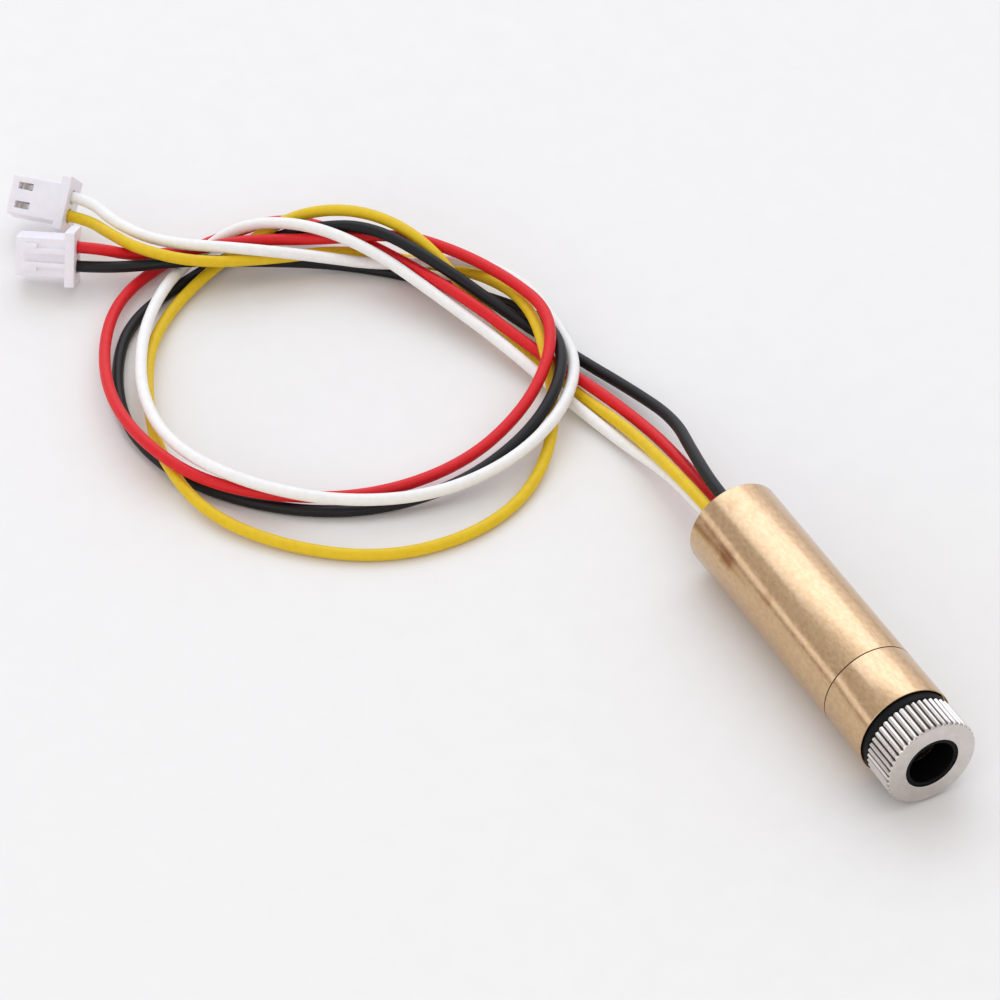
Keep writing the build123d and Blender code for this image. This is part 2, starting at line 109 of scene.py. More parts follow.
# %% Points along each wire, from inside the barrel to the crimp in the plug
wire_diameter = 1.5 * mm
wire_routes = {
    "white": [
        (-17.75, -0.9, 4.35), (-27, -0.9, 4.35),
        (-37.3, -0.6, 2.6), (-46.8, -2.1, 1), (-57, -4.6, 1.5), (-68.3, -7.1, 2.5),
        (-79, -10.7, 3.7), (-89.5, -15, 5.6), (-97.7, -20.7, 6.4), (-103.7, -27.4, 4.5),
        (-103.5, -34.5, 1.2), (-97.8, -41.1, 3.1), (-90, -47.5, 3.4), (-79, -52.5, 4.2),
        (-68, -53.5, 4.8), (-58, -48.5, 4.6), (-50.5, -39.5, 3.6), (-46.5, -28.5, 3.1),
        (-47, -17.5, 3.5), (-51.5, -8, 4.1), (-59, -1.5, 4.1), (-68, 0.4, 2.9),
        (-76.9, 0.5, 3.4), (-84.6, -3.9, 3.9), (-89.5, -12.5, 1.95), (-93.7, -22.2, 4.4),
        (-97.4, -30.6, 6.1), (-103.9, -38.6, 5.3), (-110.6, -42, 5.1),
        (-115.98, -42.86, 5.25), (-118.41, -45.37, 5.25),
    ],
    "black": [
        (-17.75, 0.375, 7.65), (-27, 0.15, 7.6),
        (-36.5, 2.2, 5.6), (-45, 4.5, 3.4), (-53.5, 3.5, 1.8), (-63, 0.5, 1.3),
        (-72.5, -4, 3), (-82.5, -9.1, 6.2), (-92, -14, 7.55), (-99, -19.5, 4.35),
        (-103, -27, 0.8), (-100.5, -36.5, 0.8), (-96.3, -46.5, 0.8), (-87.5, -52.5, 0.8),
        (-76.5, -55.5, 0.8), (-65, -53, 0.8), (-55.5, -45.5, 0.8), (-49.5, -35, 0.8),
        (-48, -23.5, 1.8), (-50.5, -13, 3.7), (-56, -5.5, 5.2), (-63.5, -1.6, 5.1),
        (-72, -1, 2.65), (-80.5, -4.5, 0.8), (-88.5, -11, 0.8), (-95, -18.5, 0.8),
        (-97.6, -27.2, 2.5), (-100.5, -36.5, 4), (-103.5, -42.5, 3.1),
        (-105.50, -46.82, 3.15), (-107.40, -49.76, 3.15),
    ],
    "yellow": [
        (-17.75, -1.35, 6.15), (-27, -1.35, 6.15),
        (-37, -1, 4.4), (-47, -1, 2.6), (-57, -2.5, 0.9), (-68, -4.2, 0.8),
        (-78, -6.5, 2.4), (-87.1, -9.05, 7.2), (-95.5, -13.6, 7.6), (-101.7, -19.9, 5.03),
        (-101.5, -28, 2.6), (-98.1, -38.1, 0.8), (-90.2, -46.4, 1.6), (-79.5, -51.5, 2.4),
        (-69, -54.5, 2.5), (-58, -53.5, 1.4), (-48.5, -47, 0.9), (-41.5, -37.5, 0.8),
        (-40, -26.5, 0.8), (-43.5, -16.5, 0.8), (-51, -9, 2), (-61, -4.5, 4),
        (-72.1, -1.6, 4.7), (-82.8, -2.8, 1.9), (-89.5, -8, 0.9), (-95, -16.5, 2.3),
        (-96.1, -26.2, 3.6), (-97.9, -35.8, 5.2), (-103.4, -41.6, 5.6), (-109.9, -43.3, 4.5),
        (-114.65, -44.15, 3.58), (-117.08, -46.66, 3.58),
    ],
    "red": [
        (-17.75, 1.05, 4.8), (-27, 1.05, 4.8),
        (-36.5, 1.5, 3.4), (-45, 1.5, 2.4), (-54.5, -0.4, 2.2), (-65, -4, 2.45),
        (-76.5, -8.5, 4.8), (-87.5, -12.2, 4.45), (-97.5, -15.5, 3.1), (-105.1, -20.9, 2.2),
        (-106.3, -29.4, 0.9), (-105, -38, 0.8), (-100, -46.5, 1.6), (-91, -52.5, 2.5),
        (-80.5, -56, 3.6), (-70.5, -56, 4.3), (-62, -52.5, 3.4), (-55.5, -44.5, 2.3),
        (-51.5, -33.5, 1.3), (-51, -21.5, 2), (-54.5, -11.5, 4), (-60.5, -4.5, 5.9),
        (-67.8, -1.1, 6.4), (-75.9, -2.3, 5.9), (-84.3, -5.4, 5.5), (-90.7, -10.6, 5.87),
        (-96, -19.5, 4.35), (-100.5, -28, 4.3), (-103.5, -36.5, 3.1), (-105.7, -41.5, 2.9),
        (-106.48, -46.18, 5.36), (-108.39, -49.12, 5.36),
    ],
}
print("points per wire:", {name: len(points) for name, points in wire_routes.items()})

# %% Lay each wire as one smooth curve
plug_of = {"white": "signal", "yellow": "signal", "red": "power", "black": "power"}


def lay_wire(name):
    """A clamped NURBS curve through the route's soft corners, with a round section."""
    curve = bpy.data.curves.new(f"{name}_lead", "CURVE")
    curve.dimensions = "3D"
    curve.bevel_depth = wire_diameter / 2
    curve.bevel_resolution = 5
    curve.use_fill_caps = True
    route = wire_routes[name]
    spline = curve.splines.new("NURBS")
    spline.points.add(len(route) - 1)
    for point, place in zip(spline.points, route):
        point.co = (*(Vector(place) * mm), 1)
    spline.order_u = 3
    spline.use_endpoint_u = True
    spline.resolution_u = 10
    lead = bpy.data.objects.new(f"{name}_lead", curve)
    bpy.context.scene.collection.objects.link(lead)
    return lead


leads = {name: lay_wire(name) for name in wire_routes}
print("wires laid:", sorted(leads))

# %% [markdown]
# ## Two helpers for finishes
# Colours are chosen as sRGB hex values, as a paint chart gives them, and shaders want linear light.
# A second helper adds one shader node with its settings and its incoming links, which keeps every
# finish below down to a few readable lines.

# %% Colour and node helpers


def colour(hex_value):
    """Linear colour for a shader from an sRGB hex value such as #c8a070."""
    channels = [int(hex_value[i:i + 2], 16) / 255 for i in (1, 3, 5)]
    return [c / 12.92 if c <= 0.04045 else ((c + 0.055) / 1.055) ** 2.4 for c in channels] + [1]


def add_node(tree, kind, settings=None, links=None):
    """One node. Settings go to its inputs, or else to its own properties; links come from outputs."""
    node = tree.nodes.new(kind)
    for key, value in (settings or {}).items():
        if isinstance(key, str) and hasattr(node, key):
            setattr(node, key, value)
        else:
            node.inputs[key].default_value = value
    for key, output in (links or {}).items():
        tree.links.new(output, node.inputs[key])
    return node


# %% [markdown]
# ## A surface that isn't flat
# No real surface has one colour and one gloss. Nearly every finish here starts with the same idea: a
# noise pattern at the size of the real grain drives the colour between two close shades, the roughness
# between two values, and a very low bump. Heights and grain are given in millimetres.

# %% The common start of a finish
grain_detail = 4.0
darkest_at, lightest_at = 0.3, 0.7


def grain_scale(grain):
    """Noise scale whose spots are about this many millimetres across."""
    return 1 / (grain * mm)


def ramp(tree, factor, stops):
    """Colour ramp with (position, hex colour) stops."""
    node = add_node(tree, "ShaderNodeValToRGB", links={"Fac": factor})
    elements = node.color_ramp.elements
    while len(elements) < len(stops):
        elements.new(0.5)
    for element, (position, hex_value) in zip(elements, stops):
        element.position = position
        element.color = colour(hex_value)
    return node.outputs["Color"]


def surface(name, shades, grain, roughness, bump, stretch=(1, 1, 1), **shader_values):
    """A finish whose colour, gloss and height all vary with one grain."""
    made = bpy.data.materials.new(name)
    made.use_nodes = True
    tree = made.node_tree
    shader = tree.nodes["Principled BSDF"]
    place = add_node(tree, "ShaderNodeTexCoord")
    mapped = add_node(tree, "ShaderNodeMapping", {"Scale": stretch},
                      {"Vector": place.outputs["Object"]})
    noise = add_node(tree, "ShaderNodeTexNoise",
                     {"Scale": grain_scale(grain), "Detail": grain_detail},
                     {"Vector": mapped.outputs["Vector"]})
    dark, light = shades
    shade = ramp(tree, noise.outputs["Fac"], [(darkest_at, dark), (lightest_at, light)])
    tree.links.new(shade, shader.inputs["Base Color"])
    gloss = add_node(tree, "ShaderNodeMapRange", {"To Min": roughness[0], "To Max": roughness[1]},
                     {"Value": noise.outputs["Fac"]})
    tree.links.new(gloss.outputs["Result"], shader.inputs["Roughness"])
    height = add_node(tree, "ShaderNodeBump", {"Strength": 1.0, "Distance": bump * mm},
                      {"Height": noise.outputs["Fac"]})
    tree.links.new(height.outputs["Normal"], shader.inputs["Normal"])
    for key, value in shader_values.items():
        shader.inputs[key.replace("_", " ").title().replace("Ior", "IOR")].default_value = value
    return made


def dress(piece, material):
    """Gives a piece this one finish."""
    piece.data.materials.clear()
    piece.data.materials.append(material)


def within(tree, value, middle, reach, fade):
    """1 where a value lies within reach of the middle, and 0 beyond the fade."""
    offset = add_node(tree, "ShaderNodeMath", {"operation": "SUBTRACT", 1: middle}, {0: value})
    away = add_node(tree, "ShaderNodeMath", {"operation": "ABSOLUTE"}, {0: offset.outputs["Value"]})
    amount = add_node(tree, "ShaderNodeMapRange", {"From Min": reach + fade, "From Max": reach},
                      {"Value": away.outputs["Value"]})
    return amount.outputs["Result"]


def tint_where(made, amount, hex_value):
    """Mixes another colour into a finish where the amount is more than 0."""
    tree = made.node_tree
    shader = tree.nodes["Principled BSDF"]
    clean = shader.inputs["Base Color"].links[0].from_socket
    mixed = add_node(tree, "ShaderNodeMix", {"data_type": "RGBA", 7: colour(hex_value)},
                     {0: amount, 6: clean})
    tree.links.new(mixed.outputs[2], shader.inputs["Base Color"])


# %% [markdown]
# ## PVC wire jackets
# Plasticised PVC is extruded hot, which leaves a soft satin skin with a faint orange peel. Its colour
# goes all the way through. The roughness is around 0.45, and the plasticiser dulls the reflection, so
# its specular level is lower than that of hard PVC with its IOR of 1.53. The orange peel is drawn
# coarser than the real 0.2 mm, so that it shows, and very low.

# %% Jackets and copper for the four wires
jacket_shades = {
    "white": ("#efeeec", "#f6f5f3"),
    "black": ("#09090d", "#0d0d12"),
    "yellow": ("#deb912", "#e6c31a"),
    "red": ("#d5141d", "#de1b24"),
}
for name, lead in leads.items():
    jacket = surface(f"pvc_jacket_{name}", jacket_shades[name], grain=0.9, roughness=(0.42, 0.52),
                     bump=0.0015, ior=1.53, specular_ior_level=0.3)
    dress(lead, jacket)
    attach(lead, "barrel")
    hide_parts(f"{name}_wire")
print("wires dressed in PVC")

# %% [markdown]
# ## Brass
# The barrel is drawn and turned brass with a satin finish. Close up it shows a fine cloudy grain that
# breaks up the edges of every reflection, and, near the wire end, a brown stain where a hand touched
# the bare metal, with fainter marks beside it and further on. A metal's colour is all in its
# reflection, so it is fully metallic with the default IOR, and a mark only darkens and reddens that
# colour. The joint between the tube and its head holds a little dark oxide, which draws a hairline.

# %% Satin brass with its marks
tube_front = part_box("rear_tube")[1].x
joint_width = 0.14 * mm
joint_fade = 0.02 * mm
joint_oxide = "#3c2412"
mark_core, mark_rim = 0.8, 1.6
mark_grain = 1.2
mark_detail = 5.0
hand_marks = {
    "stain": {"middle": (-15.3, -5.2, 8.9), "reach": (2.4, 1.0, 1.3),
              "strength": 0.75, "tint": "#8a5538"},
    "trail": {"middle": (-19.4, -4.9, 9.4), "reach": (2.6, 0.8, 1.0),
              "strength": 0.35, "tint": "#9a6a48"},
    "speck": {"middle": (-6.3, -4.85, 9.5), "reach": (1.1, 0.9, 0.9),
              "strength": 0.4, "tint": "#96623f"},
    "touch": {"middle": (-20.3, -1.9, 11.7), "reach": (1.0, 1.3, 0.8),
              "strength": 0.25, "tint": "#a5784f"},
}


def hand_mark(made, middle, reach, strength, tint):
    """A ragged patch of stain, an ellipsoid whose edge is broken up by noise."""
    tree = made.node_tree
    place = add_node(tree, "ShaderNodeTexCoord")
    ragged = add_node(tree, "ShaderNodeTexNoise",
                      {"Scale": grain_scale(mark_grain), "Detail": mark_detail},
                      {"Vector": place.outputs["Object"]})
    away = add_node(tree, "ShaderNodeMapping",
                    {"vector_type": "TEXTURE", "Location": Vector(middle) * mm,
                     "Scale": Vector(reach) * mm},
                    {"Vector": place.outputs["Object"]})
    distance = add_node(tree, "ShaderNodeVectorMath", {"operation": "LENGTH"},
                        {0: away.outputs["Vector"]})
    edge = add_node(tree, "ShaderNodeMath", {"operation": "ADD"},
                    {0: distance.outputs["Value"], 1: ragged.outputs["Fac"]})
    amount = add_node(tree, "ShaderNodeMapRange",
                      {"From Min": mark_rim, "From Max": mark_core, "To Max": strength},
                      {"Value": edge.outputs["Value"]})
    tint_where(made, amount.outputs["Result"], tint)


def satin_brass():
    """Cloudy metal with hand marks and a dark joint."""
    made = surface("satin_brass", ("#c3a27d", "#d2b490"), grain=0.45, roughness=(0.16, 0.24),
                   bump=0.0018, stretch=(0.6, 1, 1), metallic=1.0)
    for mark in hand_marks.values():
        hand_mark(made, **mark)
    tree = made.node_tree
    place = add_node(tree, "ShaderNodeTexCoord")
    parts = add_node(tree, "ShaderNodeSeparateXYZ", links={"Vector": place.outputs["Object"]})
    at_joint = within(tree, parts.outputs["X"], tube_front, joint_width / 2, joint_fade)
    tint_where(made, at_joint, joint_oxide)
    return made


brass = satin_brass()
print("brass made")

# %% [markdown]
# ## Nickel, rubber, glass and black anodised metal
# The focus ring is nickel plated: a warm light grey metal, smooth enough to flash but not a mirror.
# Fingers and oil leave grime in the bottoms of its flutes, and the colour there is also darkened as
# painted shade, deepest in each flute and at its front end, which is much of what makes a knurl read.
# The seal is nitrile rubber, nearly black and dull. The lens is plain optical glass, and its retainer
# is black anodised so that no stray light comes back from it.

# %% Nickel plate with grime and painted shade in the flutes
ring_low, ring_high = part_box("focus_ring")
crest_radius = (ring_high.y - ring_low.y) / 2
flute_depth = 0.28 * mm
front_slope = 0.25 * mm
face_edge = 0.05 * mm
shade_and_grime_run = 4 * front_slope
shade_and_grime_depths = {"starts": 0.13 * mm, "starts_at_front": 0.03 * mm, "full": 0.22 * mm}
shade_and_grime_tint = "#30251e"


def nickel_plate():
    """Light warm metal, darkened with depth in each flute and most of all at its front end: grime and
    painted shade.
    """
    made = surface("nickel_plate", ("#cdc6c1", "#d8d2cd"), grain=0.8, roughness=(0.2, 0.28),
                   bump=0.0004, metallic=1.0)
    tree = made.node_tree
    place = add_node(tree, "ShaderNodeTexCoord")
    from_beam = add_node(tree, "ShaderNodeVectorMath",
                         {"operation": "SUBTRACT", 1: (0, beam_y, beam_z)},
                         {0: place.outputs["Object"]})
    across = add_node(tree, "ShaderNodeVectorMath", {"operation": "MULTIPLY", 1: (0, 1, 1)},
                      {0: from_beam.outputs["Vector"]})
    radius = add_node(tree, "ShaderNodeVectorMath", {"operation": "LENGTH"},
                      {0: across.outputs["Vector"]})
    parts = add_node(tree, "ShaderNodeSeparateXYZ", links={"Vector": place.outputs["Object"]})
    # From here on the colour darkens with depth in each flute, more so near the front end: grime,
    # together with painted shade where a flute's own shade falls.
    crest = add_node(tree, "ShaderNodeMapRange",
                     {"From Min": ring_high.x - front_slope, "From Max": ring_high.x,
                      "To Min": crest_radius, "To Max": crest_radius - flute_depth},
                     {"Value": parts.outputs["X"]})
    depth = add_node(tree, "ShaderNodeMath", {"operation": "SUBTRACT"},
                     {0: crest.outputs["Result"], 1: radius.outputs["Value"]})
    shade_and_grime_from = add_node(tree, "ShaderNodeMapRange",
                          {"From Min": ring_high.x - shade_and_grime_run,
                           "From Max": ring_high.x - front_slope,
                           "To Min": shade_and_grime_depths["starts"],
                           "To Max": shade_and_grime_depths["starts_at_front"]},
                          {"Value": parts.outputs["X"]})
    flute_shade_and_grime = add_node(tree, "ShaderNodeMapRange", {"From Max": shade_and_grime_depths["full"]},
                     {"Value": depth.outputs["Value"], "From Min": shade_and_grime_from.outputs["Result"]})
    only_flutes = add_node(tree, "ShaderNodeMath",
                           {"operation": "LESS_THAN", 1: ring_high.x - face_edge},
                           {0: parts.outputs["X"]})
    amount = add_node(tree, "ShaderNodeMath", {"operation": "MULTIPLY"},
                      {0: flute_shade_and_grime.outputs["Result"], 1: only_flutes.outputs["Value"]})
    tint_where(made, amount.outputs["Value"], shade_and_grime_tint)
    return made


nickel = nickel_plate()

# %% Finishes at the front
rubber = surface("nitrile_rubber", ("#08080a", "#0d0d0f"), grain=0.3, roughness=(0.5, 0.65),
                 bump=0.003, ior=1.52, specular_ior_level=0.15)
glass = surface("lens_glass", ("#f4f8fa", "#ffffff"), grain=3.0, roughness=(0.0, 0.02), bump=0.0001,
                transmission_weight=1.0, ior=1.52)
black_anodised = surface("black_anodised", ("#08080a", "#0c0c0e"), grain=0.25, roughness=(0.4, 0.5),
                         bump=0.001, ior=1.5, specular_ior_level=0.08)
print("front finishes made")

# %% [markdown]
# ## Finishes inside and on the plugs
# The plugs are natural nylon, milky white with a moulded satin skin that lets a little light in. Their
# contacts are tinned bronze. The pieces inside the barrel are hardly seen, but each has its own finish
# too, so that the model holds up when it is opened.

# %% Plug and inner finishes
nylon = surface("natural_nylon", ("#eae7ee", "#efecf2"), grain=1.2, roughness=(0.38, 0.46),
                bump=0.0008, ior=1.53, subsurface_weight=0.2, subsurface_scale=0.0006)
tinned_bronze = surface("tinned_bronze", ("#f6f3ea", "#fbf9f2"), grain=0.5,
                        roughness=(0.35, 0.45), bump=0.0002, metallic=1.0)
spring_steel = surface("spring_steel", ("#8f8f92", "#b2b2b5"), grain=0.2, roughness=(0.25, 0.4),
                       bump=0.001, metallic=1.0)
header_steel = surface("gilt_header_steel", ("#c8a860", "#dcbf7c"), grain=0.3,
                       roughness=(0.25, 0.35), bump=0.001, metallic=1.0)
copper = surface("heat_sink_copper", ("#c07a58", "#d89070"), grain=0.2, roughness=(0.25, 0.4),
                 bump=0.001, metallic=1.0)
chip = surface("laser_chip", ("#3a3c46", "#565966"), grain=0.05, roughness=(0.1, 0.2),
               bump=0.0002, ior=3.0)
gilt = surface("gilt_pin", ("#d8b458", "#ecca78"), grain=0.15, roughness=(0.2, 0.3),
               bump=0.0005, metallic=1.0)
bead_glass = surface("bead_glass", ("#20302c", "#2c403a"), grain=0.3, roughness=(0.05, 0.15),
                     bump=0.001, ior=1.5)
board_green = surface("green_solder_mask", ("#0f4a2a", "#186038"), grain=1.0,
                      roughness=(0.25, 0.4), bump=0.004, ior=1.55)
chip_resin = surface("chip_resin", ("#1b1b1d", "#29292c"), grain=0.15, roughness=(0.5, 0.7),
                     bump=0.003, ior=1.55)
ceramic = surface("capacitor_ceramic", ("#9c7c58", "#b8966e"), grain=0.2, roughness=(0.4, 0.5),
                  bump=0.002, ior=1.6)
solder = surface("solder", ("#b4b6ba", "#d2d4d8"), grain=0.25, roughness=(0.15, 0.35),
                 bump=0.002, metallic=1.0)
potting = surface("black_epoxy", ("#131315", "#202024"), grain=1.2, roughness=(0.15, 0.35),
                  bump=0.01, ior=1.56)
print(len(bpy.data.materials), "finishes so far")

# %% [markdown]
# ## Dress the pieces of the construction
# Pieces whose shape is right as it stands keep their own mesh and only take a finish.

# %% Finishes on the frame's own pieces
finish_of = {
    "focus_spring": spring_steel, "diode_header": header_steel, "diode_cap": header_steel,
    "diode_window": glass, "chip_mount": copper, "laser_chip": chip, "diode_pins": gilt,
    "pin_seals": bead_glass, "driver_board": board_green, "driver_chip": chip_resin,
    "capacitors": ceramic, "resistors": chip_resin, "solder_joints": solder,
    "conductor_ends": solder, "rear_potting": potting, "signal_contacts": tinned_bronze,
    "power_contacts": tinned_bronze,
}
for node, finish in finish_of.items():
    dress(nodes[node], finish)
print("dressed", len(finish_of), "pieces of the frame")

# %% [markdown]
# ## Turned pieces
# The barrel, its head, the seal, the lens and its retainer are all turned on a lathe, and Spin is the
# lathe of mesh editing. Half of the section is drawn as a chain of points, each one extruded from the
# last, and the chain is spun round the beam line. The first point comes again at the end, so that the
# section closes, and merging doubles joins the first and last copies.

# %% A lathe
turn_steps = 192
merge_reach = 0.0005 * mm


def deselect_all():
    """Operators act on all that is selected, so nothing may be."""
    bpy.ops.object.select_all(action="DESELECT")


def lathe(name, outline):
    """Spins a closed half section, (station, radius) in metres, round the beam line."""
    deselect_all()
    station, radius = outline[0]
    bpy.ops.mesh.primitive_plane_add(size=mm, location=(station, beam_y, beam_z + radius))
    piece = bpy.context.object
    piece.name = name
    bpy.ops.object.transform_apply(location=True, rotation=True, scale=True)
    bpy.ops.object.mode_set(mode="EDIT")
    bpy.ops.mesh.merge(type="CENTER")
    for (x, r), (next_x, next_r) in zip(outline, outline[1:] + outline[:1]):
        bpy.ops.mesh.extrude_region_move(TRANSFORM_OT_translate={"value": (next_x - x, 0, next_r - r)})
    bpy.ops.mesh.select_all(action="SELECT")
    bpy.ops.mesh.spin(steps=turn_steps, angle=2 * math.pi, center=(0, beam_y, beam_z), axis=(1, 0, 0))
    bpy.ops.mesh.select_all(action="SELECT")
    bpy.ops.mesh.remove_doubles(threshold=merge_reach)
    bpy.ops.mesh.normals_make_consistent(inside=False)
    bpy.ops.object.mode_set(mode="OBJECT")
    return piece


def ease_edges(piece, width, segments=3, sharper_than=30):
    """Rounds the edges that turn by more than this many degrees, and shades the rest smooth."""
    deselect_all()
    piece.select_set(True)
    bpy.context.view_layer.objects.active = piece
    bevel = piece.modifiers.new("eased_edges", "BEVEL")
    bevel.width = width
    bevel.segments = segments
    bevel.limit_method = "ANGLE"
    bevel.angle_limit = math.radians(sharper_than)
    bpy.ops.object.modifier_apply(modifier=bevel.name)
    bpy.ops.object.shade_smooth_by_angle(angle=math.radians(sharper_than))
    return piece


def stand_for(piece, node, body, material):
    """The new piece takes the node's place, moves with its body, and wears this finish."""
    dress(piece, material)
    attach(piece, body)
    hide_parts(node)
    print(f"{piece.name}: {len(piece.data.polygons)} faces, stands for {node}")


# %% [markdown]
# ## The barrel
# A 12 mm tube with a wall of 0.8 mm holds the driver, and a turned head is pressed into its front.
# Their edges are broken by a few hundredths of a millimetre, so that a fine groove lies under the
# dark hairline where they meet.

# %% Rear tube
tube_low, tube_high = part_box("rear_tube")
barrel_radius = (tube_high.y - tube_low.y) / 2
tube_wall = 0.8 * mm
edge_break = 0.2 * mm
seam_break = 0.06 * mm
tube_bore = barrel_radius - tube_wall

tube = lathe("brass_tube", [
    (tube_low.x, tube_bore), (tube_high.x, tube_bore), (tube_high.x, barrel_radius - seam_break),
    (tube_high.x - seam_break, barrel_radius), (tube_low.x + edge_break, barrel_radius),
    (tube_low.x, barrel_radius - edge_break)])
ease_edges(tube, 0.04 * mm)
stand_for(tube, "rear_tube", "barrel", brass)

# %% Front head with its lens chamber, diode seat and spigot
head_low, head_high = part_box("front_head")
seat_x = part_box("diode_header")[1].x
web_thickness = 1.5 * mm
chamber_radius = 4.5 * mm
seat_radius = 2.82 * mm
cap_hole_radius = 2.15 * mm
rim_lip = 0.15 * mm
rim_recess = 0.4 * mm
press_gap = 0.02 * mm
floor_x = seat_x + web_thickness
spigot_radius = tube_bore - press_gap

head = lathe("brass_head", [
    (head_low.x, seat_radius), (seat_x, seat_radius), (seat_x, cap_hole_radius),
    (floor_x, cap_hole_radius), (floor_x, chamber_radius), (head_high.x - rim_recess, chamber_radius),
    (head_high.x - rim_recess, barrel_radius - rim_lip), (head_high.x, barrel_radius - rim_lip),
    (head_high.x, barrel_radius - rim_lip / 3), (head_high.x - rim_lip / 3, barrel_radius),
    (tube_high.x + seam_break, barrel_radius), (tube_high.x, barrel_radius - seam_break),
    (tube_high.x, spigot_radius), (head_low.x + edge_break, spigot_radius),
    (head_low.x, spigot_radius - edge_break)])
ease_edges(head, 0.03 * mm)
stand_for(head, "front_head", "barrel", brass)

# %% [markdown]
# ## Seal, lens and retainer
# The rubber ring fills the gap behind the focus ring. The lens has a flat back, a land for its retainer
# and a domed front, and the dome is worked out from its sag, as a lens maker gives it.

# %% Rubber ring
seal_low, seal_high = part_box("o_ring")
seal_outer = (seal_high.y - seal_low.y) / 2
seal_inner = chamber_radius
seal_steps = 8
seal_rounding = 0.45 * mm


def rounded_section(low_x, high_x, inner, outer, rounding, steps):
    """Points round a section with four round corners."""
    corners = [
        (high_x - rounding, inner + rounding, -90), (high_x - rounding, outer - rounding, 0),
        (low_x + rounding, outer - rounding, 90), (low_x + rounding, inner + rounding, 180)]
    points = []
    for x, r, first in corners:
        for step in range(steps + 1):
            turn = math.radians(first + 90 * step / steps)
            points.append((x + rounding * math.cos(turn), r + rounding * math.sin(turn)))
    return points


seal = lathe("rubber_seal", rounded_section(seal_low.x, seal_high.x, seal_inner, seal_outer,
                                            seal_rounding, seal_steps))
bpy.ops.object.shade_smooth()
stand_for(seal, "o_ring", "seal", rubber)

# %% Lens
lens_low, lens_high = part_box("collimating_lens")
lens_radius = (lens_high.y - lens_low.y) / 2
retainer_low, retainer_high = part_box("lens_retainer")
retainer_radius = (retainer_high.y - retainer_low.y) / 2
retainer_wall = 0.53 * mm
retainer_bore = retainer_radius - retainer_wall
dome_steps = 16
sag = lens_high.x - retainer_low.x
dome_radius = (retainer_bore ** 2 + sag ** 2) / (2 * sag)
dome_reach = math.asin(retainer_bore / dome_radius)

dome = []
for step in range(dome_steps + 1):
    turn = dome_reach * (1 - step / dome_steps)
    dome.append((lens_high.x - dome_radius * (1 - math.cos(turn)), dome_radius * math.sin(turn)))
flat_back = [(lens_low.x, 0), (lens_low.x, lens_radius), (retainer_low.x, lens_radius)]
lens = lathe("glass_lens", flat_back + dome)
ease_edges(lens, 0.05 * mm)
stand_for(lens, "collimating_lens", "focus_assembly", glass)

# %% Retainer
retainer = lathe("lens_clamp", [
    (retainer_low.x, retainer_bore), (retainer_high.x, retainer_bore),
    (retainer_high.x, retainer_radius), (retainer_low.x, retainer_radius)])
ease_edges(retainer, 0.08 * mm)
stand_for(retainer, "lens_retainer", "focus_assembly", black_anodised)

# %% [markdown]
# ## The focus ring
# Its head has 45 straight flutes, cut right through to the back and turned down at the front edge, so
# the construction's own mesh is the best start. It is made of loose triangles, so a copy is taken, its
# doubles are merged, its flat faces are joined up again, and then a bevel rounds the crests. The shank
# is turned down to the root of its screw thread, and the thread is wound on by a Screw modifier.

# %% A clean copy of a piece of the frame


def copy_of(node, name, flat_within=1):
    """Copy of a node's mesh with its triangles merged, and flat faces joined up."""
    deselect_all()
    piece = bpy.data.objects.new(name, nodes[node].data.copy())
    bpy.context.scene.collection.objects.link(piece)
    piece.select_set(True)
    bpy.context.view_layer.objects.active = piece
    bpy.ops.object.mode_set(mode="EDIT")
    bpy.ops.mesh.select_all(action="SELECT")
    bpy.ops.mesh.remove_doubles(threshold=merge_reach)
    bpy.ops.mesh.dissolve_limited(angle_limit=math.radians(flat_within))
    bpy.ops.mesh.normals_make_consistent(inside=False)
    bpy.ops.object.mode_set(mode="OBJECT")
    return piece


# %% Knurled head, with the shank cut down to the thread's root
shank_radius = chamber_radius - 0.05 * mm
thread_root = 4.2 * mm
just_inside = 0.01 * mm


def select_points(piece, wanted):
    """Enters edit mode with only the wanted points of a piece selected."""
    deselect_all()
    piece.select_set(True)
    bpy.context.view_layer.objects.active = piece
    bpy.ops.object.mode_set(mode="EDIT")
    bpy.ops.mesh.select_mode(type="VERT")
    bpy.ops.mesh.select_all(action="DESELECT")
    bpy.ops.object.mode_set(mode="OBJECT")
    for point in piece.data.vertices:
        point.select = wanted(point.co)
    bpy.ops.object.mode_set(mode="EDIT")


def on_shank(place):
    return abs(math.hypot(place.y - beam_y, place.z - beam_z) - shank_radius) < just_inside


ring = copy_of("focus_ring", "nickel_focus_ring")
select_points(ring, on_shank)
cut_down = thread_root / shank_radius
bpy.ops.transform.resize(value=(1, cut_down, cut_down), center_override=(0, beam_y, beam_z))
bpy.ops.object.mode_set(mode="OBJECT")
ease_edges(ring, 0.035 * mm, segments=2, sharper_than=20)
stand_for(ring, "focus_ring", "focus_assembly", nickel)

# %% The screw thread on the shank
thread_pitch = 0.5 * mm
thread_crest = 0.08 * mm
thread_base = 0.4 * mm
thread_bury = 0.05 * mm
thread_steps = 96
thread_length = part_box("front_head")[1].x - ring_low.x
thread_turns = int(thread_length / thread_pitch)


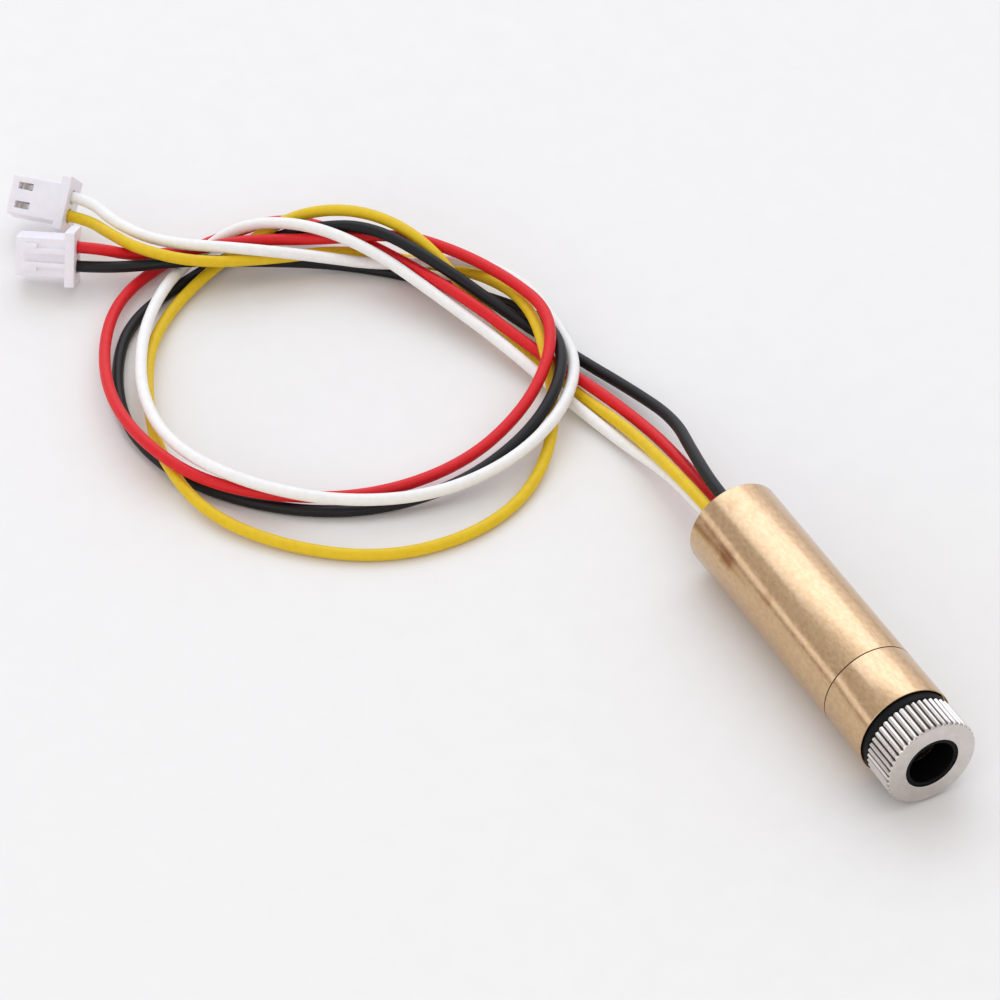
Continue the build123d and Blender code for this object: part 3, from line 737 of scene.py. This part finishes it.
def screw_thread():
    """A ridge of the thread's section, wound round the shank and closed at both ends."""
    deselect_all()
    bpy.ops.mesh.primitive_plane_add(size=mm, location=(0, beam_y, beam_z))
    thread = bpy.context.object
    thread.name = "focus_thread"
    base = thread_root - thread_bury
    start = ring_low.x + thread_base
    section = {0: (-thread_base / 2, base), 1: (thread_base / 2, base),
               2: (-thread_crest / 2, shank_radius), 3: (thread_crest / 2, shank_radius)}
    for corner, (x, r) in section.items():
        thread.data.vertices[corner].co = (start + x, 0, r)
    bpy.ops.object.mode_set(mode="EDIT")
    bpy.ops.mesh.select_all(action="SELECT")
    bpy.ops.mesh.delete(type="ONLY_FACE")
    bpy.ops.object.mode_set(mode="OBJECT")
    screw = thread.modifiers.new("wound", "SCREW")
    screw.axis = "X"
    screw.screw_offset = thread_pitch
    screw.iterations = thread_turns - 1
    screw.steps = screw.render_steps = thread_steps
    bpy.ops.object.modifier_apply(modifier=screw.name)
    bpy.ops.object.transform_apply(location=True, rotation=True, scale=True)
    bpy.ops.object.mode_set(mode="EDIT")
    bpy.ops.mesh.select_all(action="SELECT")
    bpy.ops.mesh.remove_doubles(threshold=merge_reach)
    bpy.ops.mesh.fill_holes(sides=4)
    bpy.ops.mesh.select_all(action="SELECT")
    bpy.ops.mesh.normals_make_consistent(inside=False)
    bpy.ops.object.mode_set(mode="OBJECT")
    bpy.ops.object.shade_smooth_by_angle(angle=math.radians(30))
    return thread


thread = screw_thread()
dress(thread, nickel)
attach(thread, "focus_assembly")
print(f"thread: {thread_turns} turns, {len(thread.data.polygons)} faces")

# %% [markdown]
# ## The plug housings
# Moulded nylon has no sharp edge: the tool's corners are all slightly round, and light runs along them.
# A clean copy of the construction's housing takes a small bevel for that.

# %% Housings
for plug in ("signal", "power"):
    housing = copy_of(f"{plug}_housing", f"{plug}_nylon_housing")
    ease_edges(housing, 0.07 * mm, segments=2, sharper_than=40)
    stand_for(housing, f"{plug}_housing", "barrel", nylon)

# %% [markdown]
# ## The plug of each wire
# For each wire, the plug that its far end goes into is looked up from its colour.

for name, lead in leads.items():
    plug = plug_of[name]
print("cords declared:", len(leads))

# %% [markdown]
# ## Floor and light
# The module lies on a plain pale floor. A broad soft light overhead draws the wide highlight along the
# barrel, a narrow strip low on the left draws the second one, and a fill at the front lightens the
# ring. The rest comes from a pale room with a window's glow on one side. It grows darker towards the
# horizon, so that the brass has something dark to reflect.

# %% Floor
floor_size = 4.0
deselect_all()
bpy.ops.mesh.primitive_plane_add(size=floor_size, location=(0, 0, 0))
floor = bpy.context.object
floor.name = "floor"
paper = surface("pale_paper", ("#ebe9e7", "#edebe9"), grain=4.0, roughness=(0.7, 0.8),
                bump=0.0, ior=1.45)
dress(floor, paper)

# %% Colours shown as they were chosen
bpy.context.scene.view_settings.view_transform = "Standard"

# %% Lights


def softbox(name, direction, distance, size, power, tint="#ffffff"):
    """A square or oblong area light that faces the middle of the view."""
    deselect_all()
    away = Vector(direction).normalized()
    bpy.ops.object.light_add(type="AREA", location=view_target + away * distance)
    light = bpy.context.object
    light.name = name
    light.data.shape = "RECTANGLE"
    light.data.size, light.data.size_y = size
    light.data.energy = power
    light.data.color = colour(tint)[:3]
    light.rotation_mode = "QUATERNION"
    light.rotation_quaternion = away.to_track_quat("Z", "Y")
    return light


softbox("overhead_box", (-0.66, 0.2, 0.72), 0.9, (1.05, 0.5), 1.6, "#d8e6ff")
softbox("left_strip", (-0.66, -0.72, 0.22), 0.9, (0.9, 0.16), 0.5, "#e8f1ff")
softbox("front_fill", (0.6, -0.72, 0.35), 0.9, (1.0, 0.5), 1.6)

# %% Room
wall_shades = [(0.0, "#b6aca6"), (0.3, "#cfc9c6"), (0.65, "#e0dfdf"), (1.0, "#ffffff")]
window_way = Vector((-0.62, 0.5, 0.6)).normalized()
window_glow = "#d0d6e0"
glow_rim, glow_core = 0.6, 0.98

world = bpy.data.worlds.new("pale_room")
bpy.context.scene.world = world
world.use_nodes = True
room = world.node_tree
way = add_node(room, "ShaderNodeTexCoord")
parts = add_node(room, "ShaderNodeSeparateXYZ", links={"Vector": way.outputs["Generated"]})
walls = ramp(room, parts.outputs["Z"], wall_shades)
toward = add_node(room, "ShaderNodeVectorMath", {"operation": "DOT_PRODUCT", 1: window_way},
                  {0: way.outputs["Generated"]})
glow = add_node(room, "ShaderNodeMapRange",
                {"interpolation_type": "SMOOTHSTEP", "From Min": glow_rim, "From Max": glow_core},
                {"Value": toward.outputs["Value"]})
lit = add_node(room, "ShaderNodeMix",
               {"data_type": "RGBA", "blend_type": "ADD", 7: colour(window_glow)},
               {0: glow.outputs["Result"], 6: walls})
room.links.new(lit.outputs[2], room.nodes["Background"].inputs["Color"])
room.nodes["Background"].inputs["Strength"].default_value = 1.0
